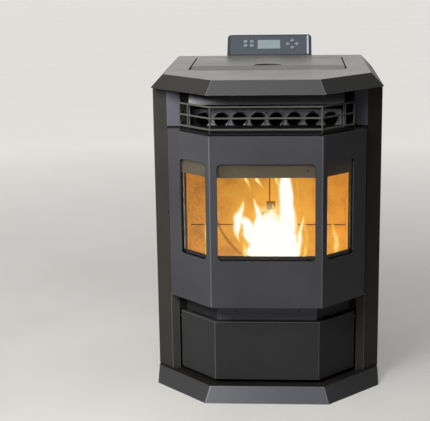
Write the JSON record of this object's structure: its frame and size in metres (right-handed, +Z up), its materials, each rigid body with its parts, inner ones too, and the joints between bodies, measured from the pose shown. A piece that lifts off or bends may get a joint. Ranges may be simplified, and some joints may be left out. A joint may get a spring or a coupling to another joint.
{
  "type": "pellet stove",
  "caption": "Free-standing pellet stove with a three-sided bay door of glass, ash drawer, hot-air outlet, hopper lid and a tilted control panel.",
  "frame": {"origin": "bottom centre of the overall box, on the floor", "axes": "+X to the stove's left-hand side as seen from inside, right as seen from the front; +Y to the rear; +Z up"},
  "size_m": [0.599, 0.6817, 0.895],
  "materials": {
    "charcoal_paint": "satin high-temperature paint, fine texture",
    "dark_paint": "matt black heat paint",
    "fireclay": "dry vermiculite brick lit by the fire",
    "cast_iron": "rough as-cast",
    "steel": "plain mill finish",
    "zinc_sheet": "galvanised sheet",
    "ceramic_glass": "clear heat-proof glass",
    "glass_rope": "braided glass rope",
    "black_plastic": "fine-grained black",
    "navy_membrane": "smooth membrane",
    "display_glass": "reflective display window",
    "key_grey": "light grey keys"
  },
  "bodies": {
    "cabinet": {"base_plinth": "charcoal_paint", "side_panel_left": "charcoal_paint", "side_panel_right": "charcoal_paint", "top_cover": "charcoal_paint", "outlet_grille": "charcoal_paint", "lower_apron": "charcoal_paint", "hopper": "dark_paint", "rear_panel": "dark_paint", "firebox_shell": "dark_paint", "hinge_upper": "dark_paint", "hinge_lower": "dark_paint", "auger_motor": "dark_paint", "exhaust_motor": "dark_paint", "air_motor": "dark_paint", "brick_back": "fireclay", "brick_left": "fireclay", "brick_right": "fireclay", "baffle_plate": "cast_iron", "pot_seat": "cast_iron", "exhaust_blower_housing": "cast_iron", "igniter": "steel", "heat_exchanger": "steel", "drawer_runner_left": "steel", "drawer_runner_right": "steel", "lid_hinge": "steel", "exhaust_duct": "steel", "outlet_hood": "zinc_sheet", "auger_tube": "zinc_sheet", "feed_chute": "zinc_sheet", "flue_collar": "zinc_sheet", "air_duct": "zinc_sheet", "air_blower_housing": "zinc_sheet", "air_intake_pipe": "zinc_sheet", "power_inlet": "black_plastic", "panel_case": "black_plastic", "panel_face": "navy_membrane", "display_window": "display_glass"},
    "door": {"door_shell": "charcoal_paint", "glass_centre": "ceramic_glass", "glass_left": "ceramic_glass", "glass_right": "ceramic_glass", "glass_retainer": "dark_paint", "door_gasket": "glass_rope"},
    "latch": {"door_latch": "steel"},
    "lid": {"hopper_lid": "charcoal_paint"},
    "drawer": {"ash_drawer_front": "charcoal_paint", "ash_pan": "zinc_sheet"},
    "pot": {"burn_pot": "cast_iron"},
    "scraper": {"tube_scraper": "steel"},
    "auger": {"auger_screw": "steel"},
    "exhaust_fan": {"exhaust_impeller": "steel"},
    "air_fan": {"air_impeller": "steel"},
    "button_1_body": {"button_1": "key_grey"},
    "button_2_body": {"button_2": "key_grey"},
    "button_3_body": {"button_3": "key_grey"},
    "button_4_body": {"button_4": "key_grey"},
    "key_up_body": {"key_up": "key_grey"},
    "key_down_body": {"key_down": "key_grey"},
    "key_left_body": {"key_left": "key_grey"},
    "key_right_body": {"key_right": "key_grey"}
  },
  "joints": [
    {"name": "door_swing", "type": "hinge", "parent": "cabinet", "child": "door", "pos_m": [0.246, -0.201, 0.479], "axis": [0, 0, 1], "range_deg": [0, 115]},
    {"name": "latch_turn", "type": "hinge", "parent": "door", "child": "latch", "pos_m": [-0.24, -0.188, 0.479], "axis": [0, -1, 0], "range_deg": [0, 75]},
    {"name": "lid_lift", "type": "hinge", "parent": "cabinet", "child": "lid", "pos_m": [0, 0.2035, 0.8374], "axis": [-1, 0, 0], "range_deg": [0, 80]},
    {"name": "drawer_slide", "type": "slide", "parent": "cabinet", "child": "drawer", "axis": [0, -1, 0], "range_m": [0, 0.2]},
    {"name": "pot_lift", "type": "slide", "parent": "cabinet", "child": "pot", "axis": [0, 0, 1], "range_m": [0, 0.06]},
    {"name": "scraper_slide", "type": "slide", "parent": "cabinet", "child": "scraper", "axis": [0, -1, 0], "range_m": [0, 0.11]},
    {"name": "auger_turn", "type": "hinge", "parent": "cabinet", "child": "auger", "pos_m": [0, 0.09, 0.57], "axis": [0, 1, 0], "continuous": true},
    {"name": "exhaust_fan_turn", "type": "hinge", "parent": "cabinet", "child": "exhaust_fan", "pos_m": [0.155, 0.03, 0.19], "axis": [0, 1, 0], "continuous": true},
    {"name": "air_fan_turn", "type": "hinge", "parent": "cabinet", "child": "air_fan", "pos_m": [-0.16, 0.125, 0.135], "axis": [1, 0, 0], "continuous": true},
    {"name": "button_1_press", "type": "slide", "parent": "cabinet", "child": "button_1_body", "axis": [0, 0.6947, -0.7193], "range_m": [0, 0.0008], "stiffness_N_per_m": 300},
    {"name": "button_2_press", "type": "slide", "parent": "cabinet", "child": "button_2_body", "axis": [0, 0.6947, -0.7193], "range_m": [0, 0.0008], "stiffness_N_per_m": 300},
    {"name": "button_3_press", "type": "slide", "parent": "cabinet", "child": "button_3_body", "axis": [0, 0.6947, -0.7193], "range_m": [0, 0.0008], "stiffness_N_per_m": 300},
    {"name": "button_4_press", "type": "slide", "parent": "cabinet", "child": "button_4_body", "axis": [0, 0.6947, -0.7193], "range_m": [0, 0.0008], "stiffness_N_per_m": 300},
    {"name": "key_up_press", "type": "slide", "parent": "cabinet", "child": "key_up_body", "axis": [0, 0.6947, -0.7193], "range_m": [0, 0.0008], "stiffness_N_per_m": 300},
    {"name": "key_down_press", "type": "slide", "parent": "cabinet", "child": "key_down_body", "axis": [0, 0.6947, -0.7193], "range_m": [0, 0.0008], "stiffness_N_per_m": 300},
    {"name": "key_left_press", "type": "slide", "parent": "cabinet", "child": "key_left_body", "axis": [0, 0.6947, -0.7193], "range_m": [0, 0.0008], "stiffness_N_per_m": 300},
    {"name": "key_right_press", "type": "slide", "parent": "cabinet", "child": "key_right_body", "axis": [0, 0.6947, -0.7193], "range_m": [0, 0.0008], "stiffness_N_per_m": 300}
  ]
}
